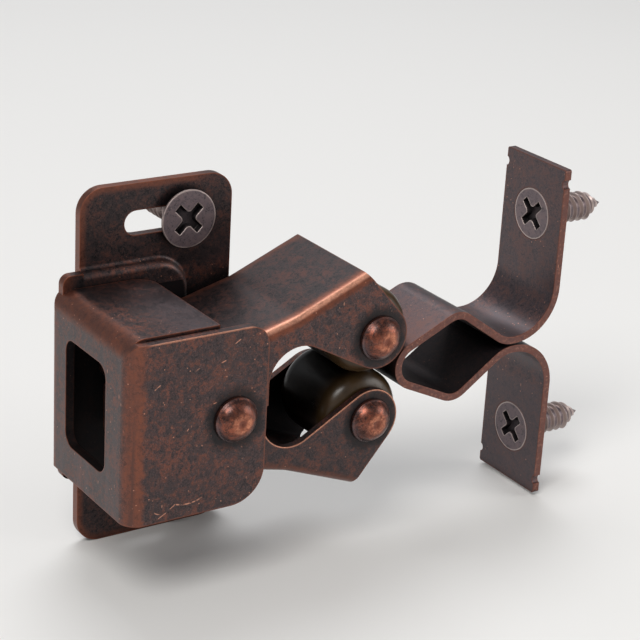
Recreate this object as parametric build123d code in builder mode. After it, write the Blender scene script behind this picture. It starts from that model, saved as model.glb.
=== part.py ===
import os
from math import acos, atan2, cos, degrees, hypot, pi, radians, sin, sqrt, tan

from build123d import *

# Double roller catch: a folded housing with two sprung jaws that carry rollers, and its strike.
# X runs towards the strike, Y into the panel behind the base, Z up. The origin is the centre of
# the base's back face, straight behind the pivot. A depth is a distance in front of that face.

# Housing, one folded sheet
housing_sheet = 1.2
base_width = 21.4
base_height = 48.0
ear_corner_radius = 3.2
housing_depth = 21.6
end_wall_reach = 14.4
cheek_reach = 4.4
cheek_height = 23.2
cheek_top_corner_radius = 2.8
cheek_bottom_corner_radius = 4.6
front_bend_radius = 2.2
rear_bend_radius = 0.9
rear_bend_inner_radius = 0.2
flap_rise = 0.4
flap_bend_radius = 2.6
flap_length = 12.6
flap_gap = 0.12
flap_corner_radius = 2.6

# Rear cheek, pressed forward off the base
standoff = 1.2
raised_reach = 4.2
raised_margin = 2.1
raised_corner_radius = 4.5
lip_corner_radius = 1.2
joggle_outer_radius = 0.9
joggle_inner_radius = 0.5

# Window in the end wall
window_front_margin = 6.0
window_rear_margin = 5.1
window_height = 14.2
window_corner_radius = 1.8

# Slots, each in the middle of its ear
slot_height = 3.2
slot_left = -4.6
slot_right = 5.4

# Jaws, two folded channels of one outline: the lower one is turned over and lies in the upper one
jaw_sheet = 1.0
jaw_side_gap = 0.2
jaw_rear_gap = 0.3
jaw_nest_gap = 0.2
jaw_fold_radius = 1.3
jaw_fold_inner_radius = 0.5
jaw_boss_radius = 4.8
jaw_tilt = 0.8
roller_pin_reach = 21.65
roller_pin_height = 5.9
jaw_end_radius = 4.15
jaw_end_angle = 49.5
throat_centre_reach = 9.9
throat_centre_height = 2.6
throat_radius = 4.4
web_bend_radius = 8.0
web_tail_reach = 8.6
web_tail_height = 7.4
web_knee_reach = 1.5
web_knee_height = 8.6
web_rise_reach = 9.6
web_rise_height = 10.65
web_rise_angle = 22.0
web_margin = 4.0
tail_corner_radius = 1.2

# Rollers
roller_radius = 5.75
roller_end_radius = 2.4
roller_end_gap = 0.3
roller_bore_clearance = 0.08

# Rivets
rivet_radius = 1.5
rivet_hole_clearance = 0.05
rivet_head_radius = 2.9
rivet_head_height = 1.8
rivet_rim_height = 0.35
rivet_rim_chamfer = 0.2
rivet_shoulder_radius = 2.1
rivet_shoulder_height = 1.3
rivet_button_radius = 0.8
rivet_dimple_depth = 0.15
clench_radius = 2.5
clench_height = 0.9
clench_edge_radius = 0.3

# Torsion spring
spring_wire = 1.0
spring_radius = 2.7
spring_turns = 3
spring_pitch = 1.1
spring_leg_reach = 7.0
spring_seat_gap = 0.1

# Catch screws
catch_screw_x = 3.75
catch_head_radius = 3.8
catch_head_rim = 0.3
catch_head_cone = 1.1
catch_shank_radius = 1.45
catch_screw_length = 12.0

# Strike, one folded strip
strike_sheet = 1.0
strike_height = 47.0
spear_gap = 0.59
spear_side_gap = 0.45
strike_bend_radius = 6.4
neck_gap = 0.3
neck_length = 0.3
neck_bend_radius = 4.4
shoulder_reach = 16.5
shoulder_height = 6.2
shoulder_bend_radius = 3.0
tip_centre_reach = 23.0
tip_radius = 2.9
flange_corner_radius = 0.3
notch_margin = 1.4
notch_length = 1.2
notch_depth = 0.45

# Strike screws
strike_screw_margin = 7.75
strike_head_radius = 3.5
strike_head_clearance = 0.05
strike_head_rim = 0.2
strike_head_cone = 1.9
strike_shank_radius = 1.6
strike_screw_length = 12.0

# Cross recess of every screw
recess_span = 4.6
recess_width = 1.1
recess_corner_radius = 0.45
recess_depth = 0.8
recess_taper = 11.0
recess_turn = 45.0
screw_tip_length = 3.0

# Nearness at which an edge counts as lying on a line
edge_tolerance = 0.005

# Places worked out from the sizes above
cheek_top = cheek_height / 2
flap_top = cheek_top + flap_rise
raised_height = cheek_height + 2 * raised_margin
slot_spacing = (base_height + raised_height) / 2
rear_cheek_front = standoff + housing_sheet
front_cheek_back = housing_depth - housing_sheet
upper_jaw_front = front_cheek_back - jaw_side_gap
upper_jaw_rear = rear_cheek_front + jaw_rear_gap
lower_jaw_front = upper_jaw_front - jaw_sheet - jaw_nest_gap
lower_jaw_rear = upper_jaw_rear + jaw_sheet + jaw_nest_gap
jaw_middle = (upper_jaw_front + upper_jaw_rear) / 2
rivet_hole_radius = rivet_radius + rivet_hole_clearance

# The jaws, their rollers and the spring stand turned a little about the pivot, the rollers up.
jaw_place = Location((0, 0, 0), (0, -jaw_tilt, 0))


def post_plane(x, z):
    """Plane through a post that runs along Y: its local y is Y, its local x is X."""
    return Plane(origin=(x, 0, z))


def post_axis(x, z):
    return Axis((x, 0, z), (0, 1, 0))


def edges_on(part, line):
    """The part's edges whose middle lies on a line."""
    return part.edges().filter_by(lambda edge: line.distance_to(edge @ 0.5) < edge_tolerance)


def folded_block(left, right, rear_depth, front_depth, top, rear_radius, front_radius, top_radius):
    """Block with round left corners in plan and a round top left corner in front view."""
    with BuildPart() as block:
        with BuildSketch(Plane.XY.offset(-cheek_top)) as plan:
            with BuildLine():
                Polyline(
                    (right, -rear_depth),
                    (left, -rear_depth),
                    (left, -front_depth),
                    (right, -front_depth),
                    close=True,
                )
            make_face()
            fillet(plan.vertices().sort_by_distance((left, -rear_depth, -cheek_top))[0], rear_radius)
            fillet(plan.vertices().sort_by_distance((left, -front_depth, -cheek_top))[0], front_radius)
        extrude(amount=cheek_top + top)
        with BuildSketch(Plane.XZ) as front_view:
            with BuildLine():
                Polyline((left, -cheek_top), (right, -cheek_top), (right, top), (left, top), close=True)
            make_face()
            fillet(front_view.vertices().sort_by_distance((left, top))[0], top_radius)
        extrude(amount=front_depth, mode=Mode.INTERSECT)
    return block.part


def pressed_panel(inset, depth):
    """Outline of the pressed panel at a depth, moved in by the inset, round at its right corners."""
    half_height = raised_height / 2 - inset
    right = raised_reach - inset
    with BuildSketch(Plane.XZ.offset(depth)) as panel:
        with BuildLine():
            Polyline(
                (-base_width / 2, -half_height),
                (right, -half_height),
                (right, half_height),
                (-base_width / 2, half_height),
                close=True,
            )
        make_face()
        fillet(panel.vertices().group_by(Axis.X)[-1], raised_corner_radius - inset)
    return panel.sketch


def polar(centre, radius, angle):
    return centre[0] + radius * cos(radians(angle)), centre[1] + radius * sin(radians(angle))


def rivet(x, z, front_depth, rear_depth):
    """Rivet along Y: a domed head with a dimpled button in front, a clenched disc behind."""
    with BuildPart() as pin:
        with BuildSketch(post_plane(x, z)):
            rim = (rivet_head_radius, -front_depth - rivet_rim_height)
            dome = (rim[0] - rivet_rim_chamfer, rim[1] - rivet_rim_chamfer)
            shoulder = (rivet_shoulder_radius, -front_depth - rivet_shoulder_height)
            button = (rivet_button_radius, -front_depth - rivet_head_height)
            with BuildLine():
                ThreePointArc(dome, shoulder, button)
                Polyline(
                    button,
                    (0, -front_depth - rivet_head_height + rivet_dimple_depth),
                    (0, -rear_depth + clench_height),
                    (clench_radius, -rear_depth + clench_height),
                    (clench_radius, -rear_depth),
                    (rivet_radius, -rear_depth),
                    (rivet_radius, -front_depth),
                    (rivet_head_radius, -front_depth),
                    rim,
                    dome,
                )
            make_face()
        revolve(axis=post_axis(x, z))
        fillet(pin.edges().filter_by(GeomType.CIRCLE).sort_by(Axis.Y)[-1], clench_edge_radius)
    return pin.part


def web_region(depth, inset):
    """Side view of all that lies under a jaw's web, less a sheet's thickness or nothing."""
    tail = Vector(-web_tail_reach, web_tail_height)
    knee = Vector(web_knee_reach, web_knee_height)
    rise = Vector(web_rise_reach, web_rise_height)
    end_reach = roller_pin_reach + jaw_end_radius + web_margin
    with BuildSketch(Plane.XZ.offset(depth)) as region:
        with BuildLine():
            Polyline(
                (-web_tail_reach, -web_tail_height),
                tail + (tail - knee).normalized() * web_margin,
                knee,
                rise,
                (end_reach, web_rise_height + (end_reach - web_rise_reach) * tan(radians(web_rise_angle))),
                (end_reach, -web_tail_height),
                close=True,
            )
        make_face()
        for bend in (knee, rise):
            fillet(region.vertices().sort_by_distance(bend)[0], web_bend_radius)
        if inset:
            offset(amount=-inset, kind=Kind.INTERSECTION)
    return region.sketch


def screw(head_radius, rim, cone, shank_radius, length):
    """Flat-headed wood screw along Z, the face of its head on the XY plane."""
    with BuildPart() as body:
        with BuildSketch(Plane.XZ):
            with BuildLine():
                Polyline(
                    (0, 0),
                    (head_radius, 0),
                    (head_radius, -rim),
                    (shank_radius, -rim - cone),
                    (shank_radius, -length + screw_tip_length),
                    (0, -length),
                    close=True,
                )
            make_face()
        revolve(axis=Axis.Z)
        with BuildSketch() as cross:
            Rectangle(recess_span, recess_width)
            Rectangle(recess_width, recess_span)
            fillet(cross.vertices().sort_by_distance((0, 0))[:4], recess_corner_radius)
        extrude(amount=-recess_depth, taper=recess_taper, mode=Mode.SUBTRACT)
    return body.part


# Housing: the shell, hollowed by a room of the same form, is folded round the jaws' tails.
shell = folded_block(
    -end_wall_reach,
    cheek_reach,
    standoff,
    housing_depth,
    flap_top,
    rear_bend_radius,
    front_bend_radius,
    flap_bend_radius,
)
room = folded_block(
    -end_wall_reach + housing_sheet,
    cheek_reach,
    rear_cheek_front,
    front_cheek_back,
    flap_top - housing_sheet,
    rear_bend_inner_radius,
    front_bend_radius - housing_sheet,
    flap_bend_radius - housing_sheet,
)
bend_end = -end_wall_reach + flap_bend_radius
flap_end = -end_wall_reach + flap_length
base_left = -base_width / 2

# Lip: the rear cheek stands above and below the end wall, as high as the pressed panel.
with BuildPart() as lip:
    with BuildSketch(Plane.XZ.offset(standoff)) as lip_outline:
        with BuildLine():
            lip_left = -end_wall_reach + rear_bend_radius
            Polyline(
                (lip_left, -raised_height / 2),
                (base_left, -raised_height / 2),
                (base_left, raised_height / 2),
                (lip_left, raised_height / 2),
                close=True,
            )
        make_face()
        lip_corners = lip_outline.vertices().group_by(Axis.X)[0]
        fillet(lip_corners, min(lip_corner_radius, 0.9 * (base_left - lip_left)))
    extrude(amount=housing_sheet)

with BuildPart() as housing:
    add(shell)
    add(room, mode=Mode.SUBTRACT)
    # The cheek is lower than the flap, and slits part the flap from both cheeks.
    with BuildSketch(Plane.XY.offset(cheek_top)):
        with BuildLine():
            Polyline(
                (-end_wall_reach, -front_cheek_back + flap_gap),
                (cheek_reach, -front_cheek_back + flap_gap),
                (cheek_reach, -housing_depth),
                (-end_wall_reach, -housing_depth),
                close=True,
            )
        make_face()
    extrude(amount=flap_rise, mode=Mode.SUBTRACT)
    with BuildSketch(Plane.XY.offset(flap_top)):
        with BuildLine():
            Polyline(
                (bend_end, -front_cheek_back + flap_gap),
                (flap_end, -front_cheek_back + flap_gap),
                (flap_end, -rear_cheek_front - flap_gap),
                (bend_end, -rear_cheek_front - flap_gap),
                (bend_end, -rear_cheek_front),
                (cheek_reach, -rear_cheek_front),
                (cheek_reach, -front_cheek_back),
                (bend_end, -front_cheek_back),
                close=True,
            )
        make_face()
    extrude(amount=-housing_sheet, mode=Mode.SUBTRACT)
    flap_corner = Vector(flap_end, -rear_cheek_front - flap_gap, flap_top - housing_sheet / 2)
    fillet(housing.edges().filter_by(Axis.Z).sort_by_distance(flap_corner)[0], flap_corner_radius)
    for side, radius in ((1, cheek_top_corner_radius), (-1, cheek_bottom_corner_radius)):
        cheek_corner = Vector(cheek_reach, -housing_depth + housing_sheet / 2, side * cheek_top)
        fillet(housing.edges().filter_by(Axis.Y).sort_by_distance(cheek_corner)[0], radius)
    # Right of the ears' left edge the rear cheek gives way to the pressed panel.
    with BuildSketch(Plane.XZ.offset(standoff)):
        with Locations(((base_left + cheek_reach) / 2, 0)):
            Rectangle(cheek_reach - base_left, 2 * base_height)
    extrude(amount=housing_sheet, mode=Mode.SUBTRACT)
    with BuildSketch(Plane.XZ):
        RectangleRounded(base_width, base_height, ear_corner_radius)
        for side in (1, -1):
            with Locations(((slot_left + slot_right) / 2, side * slot_spacing / 2)):
                SlotOverall(slot_right - slot_left, slot_height, mode=Mode.SUBTRACT)
    extrude(amount=housing_sheet)
    extrude(pressed_panel(housing_sheet, 0), amount=housing_sheet, mode=Mode.SUBTRACT)
    extrude(pressed_panel(0, standoff), amount=housing_sheet)
    joggle_bends = (
        (0, rear_cheek_front, joggle_outer_radius),
        (0, standoff, joggle_inner_radius),
        (housing_sheet, 0, joggle_outer_radius),
    )
    for inset, depth, radius in joggle_bends:
        outline = pressed_panel(inset, depth).edges()
        fillet(edges_on(housing.part, Wire(outline.sort_by(Axis.X)[1:])), radius)
    add(lip.part)
    with BuildSketch(Plane.XZ):
        Circle(rivet_hole_radius)
    extrude(amount=housing_depth, mode=Mode.SUBTRACT)
    with BuildSketch(Plane.YZ.offset(-end_wall_reach)):
        window_width = housing_depth - window_front_margin - window_rear_margin
        with Locations((-window_rear_margin - window_width / 2, 0)):
            RectangleRounded(window_width, window_height, window_corner_radius)
    extrude(amount=housing_sheet, mode=Mode.SUBTRACT)
housing.part.label = "housing"


# Jaws: two cheeks of one outline, joined by the web along its top
roller_pin = (roller_pin_reach, roller_pin_height)
throat_centre = (throat_centre_reach, throat_centre_height)
across = Vector(*roller_pin) - Vector(*throat_centre)
flank_normal = degrees(
    atan2(across.Y, across.X) + acos((jaw_end_radius + throat_radius) / across.length)
)
end_normal = 90 - jaw_end_angle
end_start = polar(roller_pin, jaw_end_radius, end_normal)
end_stop = polar(roller_pin, -jaw_end_radius, flank_normal)
end_middle = polar(roller_pin, jaw_end_radius, (end_normal + flank_normal - 180) / 2)
throat_start = polar(throat_centre, throat_radius, flank_normal)
throat_middle = polar(throat_centre, throat_radius, (flank_normal + 180) / 2)
throat_side = polar(throat_centre, throat_radius, 180)


def jaw(front, rear):
    """Jaw with its web on top, between two depths."""
    with BuildPart() as channel:
        with BuildSketch(Plane.XZ.offset(rear)) as cheek_outline:
            with BuildLine():
                ThreePointArc(end_start, end_middle, end_stop)
                Line(end_stop, throat_start)
                ThreePointArc(throat_start, throat_middle, throat_side)
                above_end = polar(end_start, roller_pin_reach, end_normal + 90)
                Polyline(
                    throat_side,
                    (throat_side[0], 0),
                    (-web_tail_reach, 0),
                    (-web_tail_reach, above_end[1]),
                    above_end,
                    end_start,
                )
            make_face()
            fillet(cheek_outline.vertices().sort_by_distance((-web_tail_reach, 0))[0], tail_corner_radius)
            Circle(jaw_boss_radius)
        extrude(amount=front - rear)
        extrude(web_region(0, 0), amount=front, mode=Mode.INTERSECT)
        room_width = front - rear - 2 * jaw_sheet
        extrude(web_region(rear + jaw_sheet, jaw_sheet), amount=room_width, mode=Mode.SUBTRACT)
        jaw_folds = (
            (front, 0, jaw_fold_radius),
            (rear, 0, jaw_fold_radius),
            (front - jaw_sheet, jaw_sheet, jaw_fold_inner_radius),
            (rear + jaw_sheet, jaw_sheet, jaw_fold_inner_radius),
        )
        for depth, inset, radius in jaw_folds:
            fillet(edges_on(channel.part, web_region(depth, inset).wire()), radius)
        with BuildSketch(Plane.XZ):
            with Locations((0, 0), roller_pin):
                Circle(rivet_hole_radius)
        extrude(amount=front, mode=Mode.SUBTRACT)
    return channel.part


with BuildPart() as upper_jaw:
    with Locations(jaw_place):
        add(jaw(upper_jaw_front, upper_jaw_rear))
upper_jaw.part.label = "upper_jaw"

with BuildPart() as lower_jaw:
    with Locations(jaw_place * Location((0, -lower_jaw_front - lower_jaw_rear, 0), (180, 0, 0))):
        add(jaw(lower_jaw_front, lower_jaw_rear))
lower_jaw.part.label = "lower_jaw"


def roller(side, jaw_front, jaw_rear):
    """Barrel with round ends on its rivet, between the inner faces of a jaw's cheeks."""
    z = side * roller_pin_height
    front = jaw_front - jaw_sheet - roller_end_gap
    rear = jaw_rear + jaw_sheet + roller_end_gap
    bore_radius = rivet_radius + roller_bore_clearance
    with BuildPart() as barrel:
        with BuildSketch(post_plane(roller_pin_reach, z)) as half_section:
            with BuildLine():
                Polyline(
                    (bore_radius, -front),
                    (roller_radius, -front),
                    (roller_radius, -rear),
                    (bore_radius, -rear),
                    close=True,
                )
            make_face()
            fillet(half_section.vertices().group_by(Axis.X)[-1], roller_end_radius)
        revolve(axis=post_axis(roller_pin_reach, z))
    return barrel.part


# Rollers
with BuildPart() as upper_roller:
    with Locations(jaw_place):
        add(roller(1, upper_jaw_front, upper_jaw_rear))
upper_roller.part.label = "upper_roller"

with BuildPart() as lower_roller:
    with Locations(jaw_place):
        add(roller(-1, lower_jaw_front, lower_jaw_rear))
lower_roller.part.label = "lower_roller"

# Rivets: one through the housing and both jaws, one through each roller
with BuildPart() as pivot_rivet:
    add(rivet(0, 0, housing_depth, standoff))
pivot_rivet.part.label = "pivot_rivet"

with BuildPart() as upper_roller_rivet:
    with Locations(jaw_place):
        add(rivet(roller_pin_reach, roller_pin_height, upper_jaw_front, upper_jaw_rear))
upper_roller_rivet.part.label = "upper_roller_rivet"

with BuildPart() as lower_roller_rivet:
    with Locations(jaw_place):
        add(rivet(roller_pin_reach, -roller_pin_height, lower_jaw_front, lower_jaw_rear))
lower_roller_rivet.part.label = "lower_roller_rivet"

# Torsion spring: coiled round the pivot rivet, its straight legs under the webs of both tails
web_slope = atan2(web_knee_height - web_tail_height, web_knee_reach + web_tail_reach)
leg_drop = (jaw_sheet + spring_seat_gap + spring_wire / 2) / cos(web_slope)
leg_rise = (web_tail_reach - spring_leg_reach) * tan(web_slope)
leg_end = Vector(-spring_leg_reach, web_tail_height + leg_rise - leg_drop)
coil_start = atan2(leg_end.Y, leg_end.X) - acos(spring_radius / leg_end.length)
coil_turns = spring_turns + coil_start / pi
coil_length = coil_turns * spring_pitch
coil_plane = Plane(
    origin=(0, -jaw_middle - coil_length / 2, 0),
    x_dir=(cos(coil_start), 0, sin(coil_start)),
    z_dir=(0, 1, 0),
)
leg_length = sqrt(leg_end.length**2 - spring_radius**2)
with BuildLine() as level_coil:
    Helix(spring_pitch, coil_length, spring_radius)
coil = level_coil.wire().moved(jaw_place * coil_plane.location)
with BuildPart() as torsion_spring:
    for end, way in ((0, -1), (1, 1)):
        with BuildSketch(Plane(coil @ end, z_dir=(coil % end) * way)):
            Circle(spring_wire / 2)
        extrude(amount=leg_length)
    with BuildSketch(Plane(coil @ 0, z_dir=coil % 0)):
        Circle(spring_wire / 2)
    sweep(path=coil, is_frenet=True)
torsion_spring.part.label = "torsion_spring"

# Catch screws: their heads' cones rest on the edges of the slots
recess_x, recess_y = cos(radians(recess_turn)), sin(radians(recess_turn))
catch_screw = screw(
    catch_head_radius, catch_head_rim, catch_head_cone, catch_shank_radius, catch_screw_length
)
catch_head_depth = housing_sheet + catch_head_cone + catch_head_rim


def catch_screw_place(side):
    return Plane(
        origin=(catch_screw_x, -catch_head_depth, side * slot_spacing / 2),
        x_dir=(recess_x, 0, recess_y),
        z_dir=(0, -1, 0),
    )


with BuildPart() as upper_catch_screw:
    with Locations(catch_screw_place(1)):
        add(catch_screw)
upper_catch_screw.part.label = "upper_catch_screw"

with BuildPart() as lower_catch_screw:
    with Locations(catch_screw_place(-1)):
        add(catch_screw)
lower_catch_screw.part.label = "lower_catch_screw"

# Strike: the spear's tip clears the lower roller, which stands nearer to its centre.
tilt = radians(jaw_tilt)
lower_pin_reach = roller_pin_reach * cos(tilt) + roller_pin_height * sin(tilt)
lower_pin_drop = roller_pin_height * cos(tilt) - roller_pin_reach * sin(tilt)
pin_distance = roller_radius + spear_gap + tip_radius + strike_sheet / 2
strike_place = lower_pin_reach + sqrt(pin_distance**2 - lower_pin_drop**2) + tip_centre_reach

# It goes in between the cheeks of the lower jaw, which is the narrower one.
strike_width = lower_jaw_front - lower_jaw_rear - 2 * (jaw_sheet + spear_side_gap)

# The strip's centre line runs down one flange, round the spear and up the other.
flange_x = strike_place - strike_sheet / 2
neck_height = (strike_sheet + neck_gap) / 2
shoulder = Vector(strike_place - shoulder_reach, shoulder_height)

# The line that rises to the shoulder is tangent to the neck's bend, at an angle to the neck.
neck_stop = flange_x - strike_bend_radius - neck_length
rise_run = neck_stop - shoulder.X
rise_drop = neck_bend_radius - shoulder_height + neck_height
rise_angle = atan2(rise_run, rise_drop) - acos(neck_bend_radius / hypot(rise_run, rise_drop))
neck_corner = neck_stop - neck_bend_radius * tan(rise_angle / 2)
tip_centre = Vector(strike_place - tip_centre_reach, 0)
taper = shoulder - tip_centre
tip_angle = degrees(atan2(taper.Y, taper.X) + acos(tip_radius / taper.length))
tip_start = polar((tip_centre.X, 0), tip_radius, tip_angle)


def strike_screw_place(side):
    height = side * (strike_height / 2 - strike_screw_margin)
    return Plane(
        origin=(strike_place - strike_sheet, -jaw_middle, height),
        x_dir=(0, recess_x, recess_y),
        z_dir=(-1, 0, 0),
    )


with BuildPart() as strike:
    with BuildSketch(Plane.XZ.offset(jaw_middle - strike_width / 2)) as strip:
        with BuildLine() as centre_line:
            for side in (1, -1):
                corners = [
                    (flange_x, side * strike_height / 2),
                    (flange_x, side * neck_height),
                    (neck_corner, side * neck_height),
                    (shoulder.X, side * shoulder_height),
                    (tip_start[0], side * tip_start[1]),
                ]
                with BuildLine(mode=Mode.PRIVATE) as half:
                    Polyline(*corners)
                    bends = zip(corners[1:4], (strike_bend_radius, neck_bend_radius, shoulder_bend_radius))
                    for corner, radius in bends:
                        fillet(half.vertices().sort_by_distance(corner)[0], radius)
                add(half.line)
            ThreePointArc(
                tip_start, (tip_centre.X - tip_radius, 0), (tip_start[0], -tip_start[1])
            )
        trace(line_width=strike_sheet)
    extrude(amount=strike_width)
    flange_corners = strike.edges().filter_by(Axis.X).group_by(Axis.Z)
    fillet(flange_corners[0] + flange_corners[-1], flange_corner_radius)
    # Small notches in both edges leave a horn at each corner of the flanges.
    notch_middle = strike_height / 2 - notch_margin - notch_length / 2
    with BuildSketch(Plane.YZ.offset(strike_place - strike_sheet)):
        with Locations(
            (-jaw_middle - strike_width / 2, notch_middle),
            (-jaw_middle + strike_width / 2, notch_middle),
            (-jaw_middle - strike_width / 2, -notch_middle),
            (-jaw_middle + strike_width / 2, -notch_middle),
        ):
            Ellipse(notch_depth, notch_length / 2)
    extrude(amount=strike_sheet, mode=Mode.SUBTRACT)
    for side in (1, -1):
        place = strike_screw_place(side)
        with BuildSketch(Plane(place.origin, x_dir=(0, 0, 1), z_dir=(0, 1, 0))):
            with BuildLine():
                rim_radius = strike_head_radius + strike_head_clearance
                sheet_radius = rim_radius - strike_sheet + strike_head_rim
                Polyline(
                    (0, 0),
                    (rim_radius, 0),
                    (rim_radius, strike_head_rim),
                    (sheet_radius, strike_sheet),
                    (0, strike_sheet),
                    close=True,
                )
            make_face()
        revolve(axis=Axis(place.origin, place.z_dir), mode=Mode.SUBTRACT)
strike.part.label = "strike"

# Strike screws: countersunk flush with the flanges
strike_screw = screw(
    strike_head_radius, strike_head_rim, strike_head_cone, strike_shank_radius, strike_screw_length
)
with BuildPart() as upper_strike_screw:
    with Locations(strike_screw_place(1)):
        add(strike_screw)
upper_strike_screw.part.label = "upper_strike_screw"

with BuildPart() as lower_strike_screw:
    with Locations(strike_screw_place(-1)):
        add(strike_screw)
lower_strike_screw.part.label = "lower_strike_screw"

os.makedirs("parts", exist_ok=True)
for piece in (
    housing,
    upper_jaw,
    lower_jaw,
    upper_roller,
    lower_roller,
    upper_roller_rivet,
    lower_roller_rivet,
    pivot_rivet,
    torsion_spring,
    upper_catch_screw,
    lower_catch_screw,
    strike,
    upper_strike_screw,
    lower_strike_screw,
):
    export_step(piece.part, f"parts/{piece.part.label}.step")
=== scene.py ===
import math

import bmesh
import bpy
from mathutils import Matrix, Vector


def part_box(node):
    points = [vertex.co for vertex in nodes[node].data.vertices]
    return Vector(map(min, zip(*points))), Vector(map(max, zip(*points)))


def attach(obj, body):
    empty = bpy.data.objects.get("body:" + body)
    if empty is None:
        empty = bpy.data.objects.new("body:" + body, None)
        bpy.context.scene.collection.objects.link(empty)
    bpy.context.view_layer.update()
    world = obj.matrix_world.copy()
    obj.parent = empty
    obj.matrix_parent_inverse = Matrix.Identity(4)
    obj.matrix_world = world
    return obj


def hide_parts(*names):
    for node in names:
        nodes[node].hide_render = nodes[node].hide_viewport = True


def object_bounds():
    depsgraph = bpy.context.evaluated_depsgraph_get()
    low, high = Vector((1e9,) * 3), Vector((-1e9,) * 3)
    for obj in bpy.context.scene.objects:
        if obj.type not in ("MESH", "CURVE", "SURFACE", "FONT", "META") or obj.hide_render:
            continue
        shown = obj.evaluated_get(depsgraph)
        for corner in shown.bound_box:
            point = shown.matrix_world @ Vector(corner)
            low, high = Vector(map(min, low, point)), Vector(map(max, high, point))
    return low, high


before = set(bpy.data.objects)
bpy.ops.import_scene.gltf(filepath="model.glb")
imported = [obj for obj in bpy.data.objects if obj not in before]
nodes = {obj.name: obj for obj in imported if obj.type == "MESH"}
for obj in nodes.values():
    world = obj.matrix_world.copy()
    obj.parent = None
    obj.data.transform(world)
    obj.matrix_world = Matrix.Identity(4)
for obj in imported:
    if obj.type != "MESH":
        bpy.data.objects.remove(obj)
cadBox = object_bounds()
mm = 0.001
print("frame loaded with", len(nodes), "nodes")


class Wire:  # one output socket, so that shader maths reads as plain arithmetic
    def __init__(self, finish, socket):
        self.finish = finish
        self.socket = socket

    def calc(self, operation, *values):
        return self.finish.node("Math", dict(operation=operation), dict(enumerate(values)))

    def __add__(self, other):
        return self.calc("ADD", self, other)

    def __radd__(self, other):
        return self.calc("ADD", other, self)

    def __sub__(self, other):
        return self.calc("SUBTRACT", self, other)

    def __rsub__(self, other):
        return self.calc("SUBTRACT", other, self)

    def __mul__(self, other):
        return self.calc("MULTIPLY", self, other)

    def __rmul__(self, other):
        return self.calc("MULTIPLY", other, self)

    def __abs__(self):
        return self.calc("ABSOLUTE", self)

    def most(self, other):
        return self.calc("MAXIMUM", self, other)

    def least(self, other):
        return self.calc("MINIMUM", self, other)

    def rises(self, low, high):  # 0 below low, 1 above high, smooth between
        return self.finish.node(
            "MapRange",
            dict(interpolation_type="SMOOTHSTEP"),
            {"Value": self, "From Min": low, "From Max": high},
        )

    def falls(self, low, high):
        return 1 - self.rises(low, high)

    def within(self, low, high, soft):  # 1 between low and high
        return self.rises(low, low + soft) * self.falls(high - soft, high)


class Finish:  # one material, with the short words that its recipe is written in
    def __init__(self, name):
        self.material = bpy.data.materials.new(name)
        self.material.use_nodes = True
        self.tree = self.material.node_tree
        self.shader = self.tree.nodes["Principled BSDF"]
        self.place = self.node("TexCoord", {}, {}, "Object")
        spread = self.node("VectorMath", dict(operation="SCALE"), {0: self.place, "Scale": 1 / mm})
        self.x, self.y, self.z = (self.node("SeparateXYZ", {}, {0: spread}, axis) for axis in "XYZ")

    def node(self, kind, settings, values, output=0):
        made = self.tree.nodes.new("ShaderNode" + kind)
        for name, value in settings.items():
            setattr(made, name, value)
        for name, value in values.items():
            self.set(made.inputs[name], value)
        return Wire(self, made.outputs[output])

    def set(self, entry, value):
        if isinstance(value, Wire):
            self.tree.links.new(value.socket, entry)
        elif entry.type == "RGBA":
            entry.default_value = (*value[:3], 1.0)
        else:
            entry.default_value = value

    def noise(self, size, detail=2.0, rough=0.5, stretch=(1, 1, 1), shift=0.0, warp=0.0):
        where = self.node(
            "Mapping",
            {},
            {"Vector": self.place, "Location": (shift, shift * 0.7, shift * 1.3), "Scale": stretch},
        )
        values = {"Scale": 1 / size, "Detail": detail, "Roughness": rough, "Distortion": warp}
        return self.node("TexNoise", {}, {"Vector": where, **values})

    def grains(self, size, shift=0.0, stretch=(1, 1, 1), turn=(0, 0, 0)):
        values = {"Location": (shift, shift, shift), "Rotation": turn, "Scale": stretch}
        where = self.node("Mapping", {}, {"Vector": self.place, **values})
        return self.node("TexVoronoi", dict(feature="F1"), {"Vector": where, "Scale": 1 / size})

    def blend(self, amount, low, high):
        settings = dict(data_type="RGBA", clamp_factor=True)
        return self.node("Mix", settings, {0: amount, 6: low, 7: high}, 2)

    def crevice(self, reach):  # 0 on open faces, 1 deep in corners and round heads
        return 1 - self.node("AmbientOcclusion", dict(samples=12), {"Distance": reach}, "AO")

    def arris(self, reach):  # 0 on faces, towards 1 on outward edges
        settings = dict(samples=12, inside=True)
        return 1 - self.node("AmbientOcclusion", settings, {"Distance": reach}, "AO")

    def root(self, value):
        return self.node("Math", dict(operation="SQRT"), {0: value})

    def put(self, **values):
        for name, value in values.items():
            self.set(self.shader.inputs[name.replace("_", " ")], value)

    def relief(self, height, depth, strength, edge):
        soft = self.node("Bevel", dict(samples=6), {"Radius": edge})
        values = {"Height": height, "Distance": depth, "Strength": strength, "Normal": soft}
        self.put(Normal=self.node("Bump", {}, values))


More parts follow.
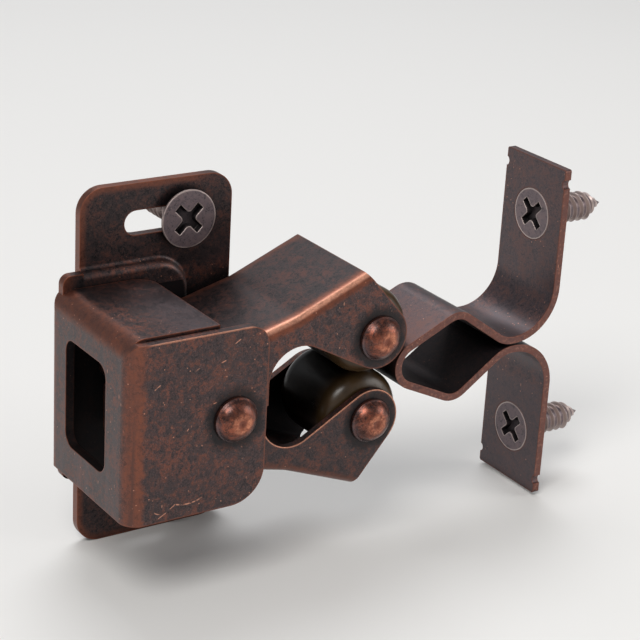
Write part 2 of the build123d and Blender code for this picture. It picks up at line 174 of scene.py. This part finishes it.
# Antique copper plating: a near-black slate ground, rubbed back to red copper in fine flecks.
agedCopper = dict(
    black=(0.006, 0.0055, 0.0065),
    slate=(0.053, 0.038, 0.040),
    umber=(0.066, 0.039, 0.036),
    red=(0.265, 0.080, 0.046),
    rose=(0.260, 0.165, 0.150),
    fold=(0.250, 0.076, 0.039),
    bright=(0.68, 0.32, 0.21),
    # painted sheen: the grey of reflected studio light
    grey=(0.100, 0.082, 0.090),
    patchSize=4.2 * mm,
    mottleSize=1.0 * mm,
    fleckSize=0.34 * mm,
    fibreSize=0.62 * mm,
    roseSize=0.19 * mm,
    bitSize=0.62 * mm,
    bitField=1.7 * mm,
    sliverSize=0.9 * mm,
    sliverField=2.6 * mm,
    reliefDepth=0.024 * mm,
    edgeSoft=0.16 * mm,
    edgeReach=0.34 * mm,
    creviceReach=2.8 * mm,
    edgeWear=0.6,
    redness=0.8,
    redLow=0.485,
    redHigh=0.63,
    sparkle=0.75,
    roughLow=0.36,
    roughHigh=0.54,
    metallic=0.85,
    lacquer=0.3,
)


def agedMetal(name, look, marks=None):
    f = Finish(name)
    patches = f.noise(look["patchSize"], 2.0, 0.5, warp=0.4)
    mottle = f.noise(look["mottleSize"], 3.0, 0.62, shift=3.1, warp=0.9)
    fleck = f.noise(look["fleckSize"], 3.0, 0.65, shift=7.7, warp=1.3)
    arris = f.arris(look["edgeReach"])
    # darkened corners, creases and round heads: partly patina in the hollows, partly painted shade
    grimeAndShade = f.crevice(look["creviceReach"]).rises(0.16, 0.62)
    put = marks(f) if marks else {}
    nothing = f.x * 0.0
    warm, streak, polish, satin, shade, scratch, dull, soot = (
        put.get(word, nothing)
        for word in ("warm", "streak", "polish", "satin", "shade", "scratch", "dull", "soot")
    )

    fibre = abs(f.noise(look["fibreSize"], 3.0, 0.6, shift=5.5, warp=1.8) - 0.5).falls(0.0, 0.045)
    worked = patches * 0.26 + mottle * 0.32 + fleck * 0.42
    redness = worked.rises(look["redLow"], look["redHigh"])
    redness = redness.most(fibre * mottle.rises(0.47, 0.62) * 0.9)
    redness = redness * look["redness"] * (1 - dull * 0.6)
    rose = f.noise(look["roseSize"], 2.0, 0.6, shift=8.3).rises(0.52, 0.74) * (1 - dull * 0.7)
    bits = f.grains(look["bitSize"], 1.9).falls(0.07, 0.19)
    bits = bits * f.noise(look["bitField"], 2.0, 0.5, shift=9.2).rises(0.54, 0.62)
    slivers = f.grains(look["sliverSize"], 4.4, (1.0, 1.0, 0.34), (0.5, 0.7, 0.3)).falls(0.05, 0.13)
    slivers = slivers * f.noise(look["sliverField"], 2.0, 0.5, shift=6.1).rises(0.53, 0.60)
    sparkle = bits.most(slivers * 0.7) * look["sparkle"] * (1 - dull)
    rubbed = (arris * 2.6 * (mottle * 0.8 + 0.45)).rises(0.22, 0.95)

    pits = (mottle * 0.4 + fleck * 0.6).falls(0.36, 0.50)
    # dull: the duller own tone of ears, flap and jaw web, and painted shade on the flap's rear left and
    # the web
    colour = f.blend(mottle.rises(0.42, 0.68) * (1 - dull * 0.7), look["slate"], look["umber"])
    colour = f.blend(pits * 0.65 + dull * 0.4, colour, look["black"])
    colour = f.blend(redness * 0.72, colour, look["red"])
    colour = f.blend(rose * 0.3, colour, look["rose"])
    # painted sheen: grey reflection laid into the colour
    colour = f.blend(satin * (0.45 + patches * 0.6), colour, look["grey"])
    colour = f.blend(warm * (mottle * 1.1 + fleck * 1.1 - 0.27), colour, look["fold"])
    colour = f.blend(streak * (0.3 + mottle * 0.9), colour, look["umber"])
    colour = f.blend(sparkle, colour, look["bright"])
    # painted shade in corners and painted shadow round the rivet heads, with patina and soot
    colour = f.blend((grimeAndShade * 0.9).most(soot), colour, look["black"])
    colour = f.blend(rubbed * look["edgeWear"], colour, look["fold"])
    # bright copper where worn, and painted highlights along the cheek's top edge and the upper jaw's
    # fold
    colour = f.blend(polish.most(scratch) * (0.1 + fleck * 1.4), colour, look["bright"])
    colour = f.blend(shade, colour, look["black"])
    spread = look["roughHigh"] - look["roughLow"]
    rough = worked.rises(0.3, 0.7) * spread + look["roughLow"] + grimeAndShade * 0.15
    rough = rough - polish * 0.08 - satin * 0.05
    height = mottle * 0.45 + fleck * 0.55 - scratch * 1.4
    f.put(
        Base_Color=colour,
        Metallic=look["metallic"],
        Roughness=rough.most(shade * 0.8),
        Coat_Weight=look["lacquer"] * (1 - shade) * (1 - grimeAndShade * 0.7),
        Coat_Roughness=0.34,
    )
    f.relief(height, look["reliefDepth"], 0.5, look["edgeSoft"])
    return f.material


# Places are in mm in the frame's own axes; skin is how far a mask reaches under its face.
housingLook = dict(
    endWall=-14.4,
    frontFace=-21.6,
    bendRadius=2.2,
    topFold=(-11.5, 9.0),
    rearFold=(-13.2, -2.9),
    flapTop=12.0,
    flapSheen=(-10.5, -3.5),
    flapShade=(-9.0, -9.0),
    cheekTop=11.6,
    baseFront=-1.25,
    earRoot=(11.0, 13.0),
    earCorner=(7.5, 20.8),
    room=dict(wall=-13.22, front=-20.5, rear=-2.3, top=10.78),
    window=dict(outer=-14.36, inner=-13.1, half=7.15, front=-15.7, rear=-5.0),
    skin=0.05,
    arcs=((-6.3, -5.0, 4.9, 0.12, -8.0, -4.2), (-9.4, -8.4, 2.2, 0.09, -10.9, -9.9)),
    nickWidth=0.09,
    nicks=(
        ((-5.8, 7.3), (-5.1, 7.6)),
        ((-0.5, 9.8), (0.4, 10.35)),
        ((-2.3, 7.7), (-1.5, 7.95)),
        ((-11.2, 5.8), (-10.3, 6.45)),
        ((-8.8, -10.15), (-7.9, -9.55)),
        ((-10.4, -11.1), (-9.1, -10.4)),
        ((-6.7, -0.3), (-6.35, 0.1)),
        ((-3.2, 2.6), (-2.6, 2.75)),
    ),
)


def rivetHalo(f, centre, face):  # dark ring round a head: soot, and the head's painted shadow
    dx = f.x - centre[0]
    dz = f.z - centre[1]
    ragged = f.noise(1.4 * mm, 2.0, 0.5, shift=3.7) * 1.4
    return (f.root(dx * dx + dz * dz) + ragged).falls(4.0, 5.5) * abs(f.y - face).falls(0.1, 0.3)


def housingMarks(f):
    look = housingLook
    skin, room, window = look["skin"], look["room"], look["window"]
    side = look["endWall"] + look["bendRadius"] - f.x  # 0 where the front bend meets the cheek
    front = look["frontFace"] + look["bendRadius"] - f.y  # 0 where it meets the end wall
    drawn = f.noise(1.2 * mm, 3.0, 0.6, stretch=(1, 1, 0.07), shift=2.2)
    uneven = f.noise(1.1 * mm, 3.0, 0.6, shift=6.6) * 1.6 - 0.8
    bend = (side + uneven).rises(-0.2, 0.7) * (front + uneven).rises(-0.6, 1.8)
    bend = bend * (drawn * 1.1 + 0.4).least(1.0)
    top = (look["topFold"][0] - f.x).rises(0.0, 1.6) * (f.z - look["topFold"][1]).rises(0.0, 1.3)
    rear = (look["rearFold"][0] - f.x).rises(0.0, 0.5) * (f.y - look["rearFold"][1]).rises(0.0, 0.8)
    streak = abs(side - front).falls(0.3, 1.0) * side.rises(0.5, 1.0) * front.rises(0.5, 1.0)
    streak = streak * drawn.rises(0.35, 0.6)
    # painted sheen on the end wall, stronger towards the bottom
    wall = (look["endWall"] + 2 * skin - f.x).rises(0.0, 0.08) * (f.z.falls(-9.0, 9.0) * 0.7 + 0.15)
    onFlap = (f.z - (look["flapTop"] - skin)).rises(0.0, 0.04)
    sheenX, sheenY = look["flapSheen"]
    shadeX, shadeY = look["flapShade"]
    # painted sheen on the front right of the flap
    flap = onFlap * (f.x - sheenX).rises(0.0, 6.0) * (sheenY - f.y).rises(0.0, 8.0)
    # painted shade on the rear left of the flap
    flapRearShade = onFlap * (f.x - shadeX).falls(0.0, 5.0) * (f.y - shadeY).rises(-4.0, 4.0)
    inside = f.x.rises(room["wall"] - 0.1, room["wall"])
    inside = inside * f.y.within(room["front"], room["rear"], 0.1)
    inside = inside * f.z.falls(room["top"], room["top"] + 0.12)
    ears = f.y.rises(look["baseFront"] - 0.1, look["baseFront"] + 0.1)
    ears = ears * abs(f.z).rises(*look["earRoot"])
    # painted highlight along the top edge of the front cheek
    lit = (look["frontFace"] + 5 * skin - f.y).rises(0.0, 0.2) * f.x.rises(-12.4, -11.0)
    lit = lit * f.z.rises(look["cheekTop"] - 0.22, look["cheekTop"] - 0.02)

    def arc(cx, cz, radius, width, low, high):
        dx = f.x - cx
        dz = f.z - cz
        line = abs(f.root(dx * dx + dz * dz) - radius).falls(width * 0.35, width)
        return line * f.x.within(low, high, 0.3) * dz.falls(-0.01, 0.01)

    def nick(start, end, width):
        run = Vector(end) - Vector(start)
        long = run.length
        dx = f.x - start[0]
        dz = f.z - start[1]
        along = (dx * run.x + dz * run.y) * (1 / long)
        line = abs(dx * run.y - dz * run.x).falls(width * long * 0.35, width * long)
        return line * along.within(0.0, long, 0.2)

    ragged = f.noise(0.35 * mm, 2.0, 0.6, shift=5.0).rises(0.36, 0.52)
    cheek = (look["frontFace"] + 2 * skin - f.y).rises(0.0, skin)
    scratch = arc(*look["arcs"][0]).most(arc(*look["arcs"][1]))
    for start, end in look["nicks"]:
        scratch = scratch.most(nick(start, end, look["nickWidth"]))
    overX = (abs(f.x) - look["earCorner"][0]).most(0.0)
    overZ = (abs(f.z) - look["earCorner"][1]).most(0.0)
    rim = f.root(overX * overX + overZ * overZ).rises(2.1, 2.9) * ears * f.x.falls(4.0, 9.0)
    # painted sheen on the ears right of the joggle
    shoulder = ears * f.x.rises(5.0, 7.5) * abs(f.z).falls(13.0, 17.0)
    hole = f.x.within(window["outer"], window["inner"], 0.06)
    hole = hole * f.y.within(window["front"], window["rear"], skin)
    hole = hole * abs(f.z).falls(window["half"], window["half"] + skin)
    return dict(
        warm=(bend * 0.75).most(top * 0.65).most(rear * 0.5).most(rim * 0.75),
        streak=streak * 0.8,
        polish=lit * 0.8,
        satin=(wall * drawn.rises(0.40, 0.66) * 0.4)
        .most(flap * (drawn * 0.6 + 0.6))
        .most(shoulder * 0.35),
        shade=(inside * 0.94).most(hole * 0.85),
        scratch=scratch * ragged * cheek,
        dull=(ears * 0.95).most(flapRearShade * 0.9).most(flap * 0.5),
        soot=rivetHalo(f, (0.0, 0.0), look["frontFace"]) * 0.85,
    )


# Both jaws have one outline, turned a little about the pivot; side is 1 above and -1 below.
jawLook = dict(
    agedCopper,
    tilt=math.radians(0.8),
    tail=(-8.6, 7.4),
    knee=(1.5, 8.6),
    rise=(9.6, 10.65),
    riseSlope=math.tan(math.radians(22.0)),
    sheet=1.0,
    upper=dict(side=1, front=-20.2, rear=-2.7),
    lower=dict(side=-1, front=-19.0, rear=-3.9),
)


def jawMarks(look, jaw, head):
    side = jaw["side"]

    def marks(f):
        u = f.x * math.cos(look["tilt"]) + f.z * math.sin(look["tilt"])
        w = (f.z * math.cos(look["tilt"]) - f.x * math.sin(look["tilt"])) * side
        tail, knee, rise = look["tail"], look["knee"], look["rise"]
        first = (knee[1] - tail[1]) / (knee[0] - tail[0])
        second = (rise[1] - knee[1]) / (rise[0] - knee[0])
        webTop = (tail[1] + (u - tail[0]) * first).most(knee[1] + (u - knee[0]) * second)
        below = webTop.most(rise[1] + (u - rise[0]) * look["riseSlope"]) - w
        front = f.y - jaw["front"]
        back = jaw["rear"] - f.y
        sheet = look["sheet"]
        # the fold's bright core: worn copper, with a painted highlight where the lamps' highlight falls
        core = below.falls(0.30, 0.62) * front.falls(0.80, 1.15)
        halo = (below + front).falls(1.15, 2.9) * below.falls(0.7, 1.5) * front.falls(1.1, 2.7)
        farHalo = (below + back).falls(0.9, 2.4)
        inner = f.y.within(jaw["front"] + sheet - 0.12, jaw["rear"] - sheet + 0.12, 0.08)
        inner = inner * below.rises(1.06, 1.2)
        soot = rivetHalo(f, head, jaw["front"]) * 0.85
        # the web is duller and darker: partly its own tone, partly painted shade on its up-facing top
        web = below.falls(0.1, 0.4)
        if side > 0:
            return dict(
                warm=(halo * 0.95).most(farHalo * 0.6),
                polish=core * 0.95,
                dull=web * 0.9,
                shade=inner * 0.93,
                soot=soot,
            )
        throat = f.arris(0.28 * mm).rises(0.10, 0.34) * w.falls(8.3, 8.9)
        throat = throat * front.falls(0.1, 0.3) * u.rises(4.4, 5.0)
        return dict(
            warm=(halo * 0.6).most(farHalo * 0.5),
            polish=throat * 0.85,
            # painted sheen on the lower jaw's web
            satin=web * 0.2,
            shade=inner * 0.93,
            # the lower jaw's whole front face is also made a little darker
            soot=soot.most(front.falls(0.1, 0.3) * 0.18),
        )

    return marks


# The strip's two edges are sheared, so they show even red copper; the fold's inside is painted dark as
# shade.
strikeLook = dict(
    agedCopper,
    slate=(0.072, 0.054, 0.062),
    umber=(0.082, 0.052, 0.052),
    red=(0.210, 0.090, 0.072),
    fold=(0.165, 0.058, 0.040),
    redLow=0.45,
    redHigh=0.64,
    edgeWear=0.8,
    frontEdge=-17.55,
    rearEdge=-5.35,
    shoulder=(36.2, 6.2),
    tipSlope=0.4624,
    neckSlope=0.7016,
    hollow=(27.0, 43.6),
    flangeFace=51.7,
)


def strikeMarks(f):
    look = strikeLook
    cut = f.y.falls(look["frontEdge"] + 0.02, look["frontEdge"] + 0.10).most(
        f.y.rises(look["rearEdge"] - 0.10, look["rearEdge"] - 0.02)
    )
    reach, height = look["shoulder"]
    rising = height - (reach - f.x) * look["tipSlope"]
    line = rising.least(height - (f.x - reach) * look["neckSlope"])  # the spear's outline
    uncut = 1 - cut
    inner = (line - abs(f.z)).rises(0.1, 0.35) * f.x.within(*look["hollow"], 0.2) * uncut
    spear = f.x.falls(40.0, 46.0) * uncut
    nose = f.x.falls(29.0, 35.5) * uncut
    face = f.x.falls(look["flangeFace"] + 0.05, look["flangeFace"] + 0.15)
    face = face * f.x.rises(50.0, 51.5) * uncut
    # painted sheen near the bend
    sheen = f.x.within(42.5, 50.5, 2.5) * f.y.falls(-11.0, -7.0) * uncut
    return dict(
        warm=(cut * 0.85).most(nose * 0.5),
        shade=inner * 0.82,
        # painted sheen on the spear and the flange face, strongest on the flange's lower part
        satin=(spear * 0.3).most(sheen * 0.8).most(face * (f.z.falls(-9.0, -6.0) * 0.65).most(0.3)),
        polish=cut * f.noise(0.5 * mm, 2.0, 0.6, shift=8.8).rises(0.5, 0.7) * 0.25,
    )


rivetLook = dict(
    agedCopper,
    slate=(0.085, 0.034, 0.026),
    umber=(0.150, 0.047, 0.030),
    red=(0.38, 0.105, 0.056),
    fold=(0.35, 0.10, 0.052),
    bright=(0.68, 0.27, 0.155),
    lacquer=0.2,
    edgeWear=0.35,
    sparkle=0.4,
    creviceReach=0.9 * mm,
    roughLow=0.26,
    roughHigh=0.40,
    heads=dict(
        pivot_rivet=(0.0, 0.0),
        upper_roller_rivet=(21.5655, 6.2017),
        lower_roller_rivet=(21.7303, -5.5971),
    ),
)


def rivetMarks(centre):
    def marks(f):
        dx = f.x - centre[0]
        dz = f.z - centre[1]
        reach = f.root(dx * dx + dz * dz)
        lean = (dx + dz).falls(-3.6, -1.4)  # painted reflection: the lower left of each dome's rim is greyed
        worn = f.noise(0.9 * mm, 3.0, 0.6, shift=1.7, warp=1.0)
        return dict(
            polish=abs(reach - 0.95).falls(0.1, 0.6) * worn.rises(0.35, 0.65) * 0.75,
            warm=reach.falls(0.9, 2.3) * 0.55,
            streak=reach.falls(0.25, 0.75) * 0.9,
            satin=(reach.rises(2.2, 2.75) * lean).most(reach.rises(2.5, 2.9) * 0.3),
        )

    return marks


screwLook = dict(
    agedCopper,
    black=(0.012, 0.011, 0.012),
    slate=(0.150, 0.117, 0.130),
    umber=(0.180, 0.133, 0.140),
    red=(0.190, 0.125, 0.120),
    fold=(0.55, 0.45, 0.42),
    bright=(0.60, 0.45, 0.40),
    edgeWear=0.85,
    redness=0.35,
    sparkle=0.25,
    edgeReach=0.3 * mm,
    creviceReach=1.3 * mm,
    roughLow=0.34,
    roughHigh=0.46,
    recessReach=2.3,
    catch=dict(x=3.75, height=18.85, depth=(-2.56, -1.72)),
    strike=dict(y=-11.45, height=15.75, depth=(51.74, 52.62)),
)


def screwMarks(f):  # only the cross recess lies this near the axis and this close under the face
    reach, catch, strike = screwLook["recessReach"], screwLook["catch"], screwLook["strike"]

    def nearAxis(across, height):
        rise = abs(f.z) - height
        return f.root(across * across + rise * rise).falls(reach, reach + 0.1)

    recess = nearAxis(f.x - catch["x"], catch["height"]) * f.y.within(*catch["depth"], 0.05)
    strikeRecess = nearAxis(f.y - strike["y"], strike["height"]) * f.x.within(*strike["depth"], 0.05)
    return dict(shade=recess.most(strikeRecess) * 0.7)


springLook = dict(
    agedCopper,
    slate=(0.05, 0.047, 0.046),
    umber=(0.085, 0.074, 0.068),
    red=(0.11, 0.085, 0.07),
    fold=(0.16, 0.13, 0.11),
    edgeWear=0.0,
    sparkle=0.1,
    roughLow=0.25,
    roughHigh=0.42,
    metallic=1.0,
)
rollerLook = dict(
    dark=(0.0035, 0.0026, 0.0022),
    olive=(0.062, 0.034, 0.012),
    cloudSize=3.0 * mm,
    turnedSize=0.45 * mm,
    scuffSize=0.8 * mm,
    reliefDepth=0.02 * mm,
    edgeSoft=0.2 * mm,
    frontFade=(-17.2, -13.8),
    rearFade=(-7.0, -4.4),
    roughLow=0.24,
    roughHigh=0.36,
    gloss=0.45,
)


def mouldedPlastic(name, look):
    f = Finish(name)
    cloud = f.noise(look["cloudSize"], 3.0, 0.55)
    turned = f.noise(look["turnedSize"], 3.0, 0.6, stretch=(1, 0.12, 1), shift=4.0)
    scuffs = f.noise(look["scuffSize"], 2.0, 0.6, stretch=(1, 0.3, 1), shift=2.5).rises(0.56, 0.72)
    # painted light: the roller's front and rear ends are tinted olive as if lit
    ends = f.y.falls(*look["frontFade"]).most(f.y.rises(*look["rearFade"]))
    tint = cloud.rises(0.3, 0.75) * 0.12 + ends * (cloud * 0.9 + 0.25)
    colour = f.blend(tint, look["dark"], look["olive"])
    f.put(
        Base_Color=colour,
        Roughness=cloud * (look["roughHigh"] - look["roughLow"]) + look["roughLow"] + scuffs * 0.12,
        Specular_IOR_Level=look["gloss"],
    )
    f.relief(turned * 0.6 + cloud * 0.4, look["reliefDepth"], 0.4, look["edgeSoft"])
    return f.material


heads = rivetLook["heads"]
upperMarks = jawMarks(jawLook, jawLook["upper"], heads["upper_roller_rivet"])
lowerMarks = jawMarks(jawLook, jawLook["lower"], heads["lower_roller_rivet"])
screwMetal = agedMetal("screwMetal", screwLook, screwMarks)
rollerBrown = mouldedPlastic("rollerBrown", rollerLook)
materials = {
    "housing": agedMetal("housingCopper", agedCopper, housingMarks),
    "upper_jaw": agedMetal("upperJawCopper", jawLook, upperMarks),
    "lower_jaw": agedMetal("lowerJawCopper", jawLook, lowerMarks),
    "strike": agedMetal("strikeCopper", strikeLook, strikeMarks),
    "torsion_spring": agedMetal("springWire", springLook),
}
for name, centre in heads.items():
    materials[name] = agedMetal(name.replace("_", "") + "Copper", rivetLook, rivetMarks(centre))
for name in nodes:
    if name.endswith("_screw"):
        materials[name] = screwMetal
    if name.endswith("_roller"):
        materials[name] = rollerBrown
for name, piece in nodes.items():
    piece.data.materials.clear()
    piece.data.materials.append(materials[name])
print("finishes on", len(materials), "nodes")

# Rolled threads of the wood screws: a ridge wound round each shank, its foot sunk into the metal.
threadLook = dict(
    pitch=1.15,
    ridge=0.42,
    foot=0.12,
    stepsPerTurn=28,
    point=12.0,
    catch=dict(shank=1.45, start=3.1, tip=9.0, end=11.35, along="y"),
    strike=dict(shank=1.6, start=2.9, tip=9.0, end=11.35, along="x"),
)


def windThread(node, body, look, kind):
    low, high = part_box(node)
    pitch, shank = look["pitch"], kind["shank"]
    turns = (kind["end"] - kind["start"]) / pitch
    thread = bmesh.new()
    foot, crest = shank - look["foot"], shank + look["ridge"]
    profile = [
        thread.verts.new((reach, 0, kind["start"] + rise * pitch))
        for reach, rise in ((foot, 0.0), (crest, 0.25), (foot, 0.5))
    ]
    edges = [thread.edges.new((profile[i], profile[(i + 1) % 3])) for i in range(3)]
    steps = round(turns * look["stepsPerTurn"])
    bmesh.ops.spin(
        thread,
        geom=profile + edges,
        cent=(0, 0, 0),
        axis=(0, 0, 1),
        dvec=(0, 0, turns * pitch / steps),
        angle=math.tau * turns,
        steps=steps,
        use_merge=False,
    )
    bmesh.ops.holes_fill(thread, edges=[edge for edge in thread.edges if edge.is_boundary], sides=3)
    for vert in thread.verts:  # the ridge rises over the first turn and follows the tip's cone
        reach = math.hypot(vert.co.x, vert.co.y)
        depth = vert.co.z
        rising = min(1.0, max(0.0, (depth - kind["start"]) / pitch))
        core = min(reach, foot)
        wanted = core + (reach - core) * rising
        if depth > kind["tip"]:
            wanted *= max(0.08, 1 - (depth - kind["tip"]) / (look["point"] - kind["tip"]))
        vert.co.x *= wanted / reach
        vert.co.y *= wanted / reach
    bmesh.ops.recalc_face_normals(thread, faces=thread.faces)
    middle = (Vector(low) + Vector(high)) / 2
    if kind["along"] == "y":
        turn = Matrix.Rotation(-math.pi / 2, 4, "X")
        place = Vector((middle.x, low[1], middle.z))
    else:
        turn = Matrix.Rotation(math.pi / 2, 4, "Y")
        place = Vector((low[0], middle.y, middle.z))
    placed = Matrix.Translation(place) @ turn @ Matrix.Scale(mm, 4)
    bmesh.ops.transform(thread, matrix=placed, verts=thread.verts)
    name = node.replace("_screw", "_thread")
    mesh = bpy.data.meshes.new(name)
    thread.to_mesh(mesh)
    thread.free()
    mesh.materials.append(screwMetal)
    piece = bpy.data.objects.new(name, mesh)
    bpy.context.collection.objects.link(piece)
    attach(piece, body)


for name in ("upper_catch_screw", "lower_catch_screw"):
    windThread(name, "catch_housing", threadLook, threadLook["catch"])
for name in ("upper_strike_screw", "lower_strike_screw"):
    windThread(name, "door_strike", threadLook, threadLook["strike"])
print("threads wound on four screws")

# Spring: the coil stays on the pivot, and each leg turns with the jaw that it pushes. A thinner
# arc at each leg's foot lies inside the coil's wire and slides out as the spring winds up.
springShape = dict(
    wire=0.5,
    radius=2.7,
    pitch=1.1,
    wholeTurns=3,
    legEnd=(-7.0, 5.979),
    tilt=math.radians(0.8),
    footWire=0.40,
    footAngle=math.radians(39.0),
    footLead=math.radians(5.0),
    sunk=0.05,
    sides=16,
    stepsPerTurn=48,
    endBevel=0.12,
)


def wireRing(mesh, centre, wire, sides):
    angles = [math.tau * i / sides for i in range(sides)]
    ring = [
        mesh.verts.new((centre + wire * math.cos(angle), wire * math.sin(angle), 0)) for angle in angles
    ]
    return ring, [mesh.edges.new((ring[i], ring[(i + 1) % sides])) for i in range(sides)]


def springPiece(name, body, mesh, turn, depth, bevel):
    bmesh.ops.holes_fill(mesh, edges=[edge for edge in mesh.edges if edge.is_boundary], sides=0)
    mesh.normal_update()
    ends = [edge for edge in mesh.edges if any(len(face.verts) > 4 for face in edge.link_faces)]
    bmesh.ops.bevel(
        mesh, geom=ends, offset=bevel, affect="EDGES", segments=2, profile=0.5, material=-1
    )
    bmesh.ops.recalc_face_normals(mesh, faces=mesh.faces)
    place = Matrix.Translation((0, depth, 0)) @ Matrix.Rotation(-turn, 4, "Y")
    bmesh.ops.transform(mesh, matrix=Matrix.Scale(mm, 4) @ place, verts=mesh.verts)
    data = bpy.data.meshes.new(name)
    mesh.to_mesh(data)
    mesh.free()
    data.materials.append(materials["torsion_spring"])
    for face in data.polygons:
        face.use_smooth = len(face.vertices) == 4
    piece = bpy.data.objects.new(name, data)
    bpy.context.collection.objects.link(piece)
    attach(piece, body)
    return piece


def windSpring(look):
    reach = math.hypot(*look["legEnd"])
    start = math.atan2(look["legEnd"][1], look["legEnd"][0]) - math.acos(look["radius"] / reach)
    turns = look["wholeTurns"] + start / math.pi
    low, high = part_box("torsion_spring")
    middle = (low.y + high.y) / 2 / mm
    half = turns * look["pitch"] / 2
    slope = look["pitch"] / math.tau / look["radius"]
    legLength = math.sqrt(reach * reach - look["radius"] * look["radius"])

    def wind(mesh, geometry, angle):
        steps = max(2, round(abs(angle) / math.tau * look["stepsPerTurn"]))
        drift = angle / math.tau * look["pitch"] / steps
        bmesh.ops.spin(
            mesh,
            geom=geometry,
            cent=(0, 0, 0),
            axis=(0, 1, 0),
            dvec=(0, drift, 0),
            angle=angle,
            steps=steps,
            use_merge=False,
        )

    coil = bmesh.new()
    ring, edges = wireRing(coil, look["radius"], look["wire"], look["sides"])
    wind(coil, ring + edges, math.tau * turns)
    turn = start + look["tilt"]
    piece = springPiece("spring_coil", "catch_housing", coil, turn, middle - half, look["sunk"])
    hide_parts("torsion_spring")
    for name, body, side in (
        ("upper_spring_leg", "upper_jaw_arm", 1),
        ("lower_spring_leg", "lower_jaw_arm", -1),
    ):
        for part, wire, lead in (
            ("", look["wire"], 0.0),
            ("_foot", look["footWire"], look["footLead"] * side),
        ):
            leg = bmesh.new()
            ring, edges = wireRing(leg, look["radius"], wire, look["sides"])
            if part:
                wind(leg, ring + edges, look["footAngle"] * side)
            else:
                run = Vector((0, -slope, 1)).normalized() * side
                made = bmesh.ops.extrude_edge_only(leg, edges=edges)["geom"]
                far = [item for item in made if isinstance(item, bmesh.types.BMVert)]
                bmesh.ops.translate(leg, verts=far, vec=run * legLength)
                bmesh.ops.translate(leg, verts=ring, vec=-run * look["sunk"])
            springPiece(
                name + part,
                body,
                leg,
                start * side + look["tilt"] + lead,
                middle - half * side - lead / math.tau * look["pitch"],
                look["endBevel"] if not part else look["sunk"],
            )


windSpring(springShape)
print("spring wound, its legs on the jaws")

floorLook = dict(
    colour=(0.80, 0.79, 0.775),
    cloud=(0.74, 0.73, 0.715),
    cloudSize=0.05,
    drop=0.05 * mm,
    size=4.0,
)


def makeFloor(look):
    f = Finish("paleFloor")
    cloud = f.noise(look["cloudSize"], 2.0, 0.5)
    f.put(Base_Color=f.blend(cloud * 0.1, look["colour"], look["cloud"]), Roughness=0.7)
    mesh = bpy.data.meshes.new("floor")
    shape = bmesh.new()
    bmesh.ops.create_grid(shape, x_segments=1, y_segments=1, size=look["size"])
    bmesh.ops.translate(shape, verts=shape.verts, vec=(0, 0, cadBox[0][2] - look["drop"]))
    shape.to_mesh(mesh)
    shape.free()
    mesh.materials.append(f.material)
    floor = bpy.data.objects.new("floor", mesh)
    bpy.context.collection.objects.link(floor)


makeFloor(floorLook)

cameraLook = dict(
    place=(-113.26, -204.56, 98.27),
    right=(0.83701, -0.54451, 0.05403),
    up=(0.15847, 0.33574, 0.92854),
    forward=(0.52373, 0.76863, -0.36731),
    lens=110.77,
)


def makeCamera(look):
    camera = bpy.data.objects.new("camera", bpy.data.cameras.new("camera"))
    camera.data.lens = look["lens"]
    camera.data.sensor_width = 36.0
    camera.data.clip_start = 0.01
    axes = Matrix((look["right"], look["up"], -Vector(look["forward"]))).transposed()
    camera.matrix_world = Matrix.Translation(Vector(look["place"]) * mm) @ axes.to_4x4()
    bpy.context.collection.objects.link(camera)
    bpy.context.scene.camera = camera


makeCamera(cameraLook)

lightLook = dict(
    key=dict(place=(-0.35, -0.30, 0.55), size=0.35, power=2.8, colour=(1.0, 0.985, 0.96)),
    top=dict(place=(0.15, 0.30, 0.60), size=0.45, power=2.05, colour=(0.97, 0.985, 1.0)),
    side=dict(place=(0.55, -0.35, 0.20), size=0.40, power=1.3, colour=(1.0, 0.98, 0.95)),
    world=(0.90, 0.91, 0.93),
    worldStrength=0.36,
    aim=(0.02, -0.01, 0),
)


def makeLights(look):
    for name in ("key", "top", "side"):
        lamp = look[name]
        data = bpy.data.lights.new(name, "AREA")
        data.shape = "DISK"
        data.size = lamp["size"]
        data.energy = lamp["power"]
        data.color = lamp["colour"]
        light = bpy.data.objects.new(name, data)
        light.location = lamp["place"]
        towards = Vector(look["aim"]) - light.location
        light.rotation_euler = towards.to_track_quat("-Z", "Y").to_euler()
        bpy.context.collection.objects.link(light)
    world = bpy.data.worlds.new("studio")
    world.use_nodes = True
    world.node_tree.nodes["Background"].inputs["Color"].default_value = (*look["world"], 1.0)
    world.node_tree.nodes["Background"].inputs["Strength"].default_value = look["worldStrength"]
    bpy.context.scene.world = world


makeLights(lightLook)
bpy.context.scene.view_settings.view_transform = "Standard"
print("floor, camera and lights set")
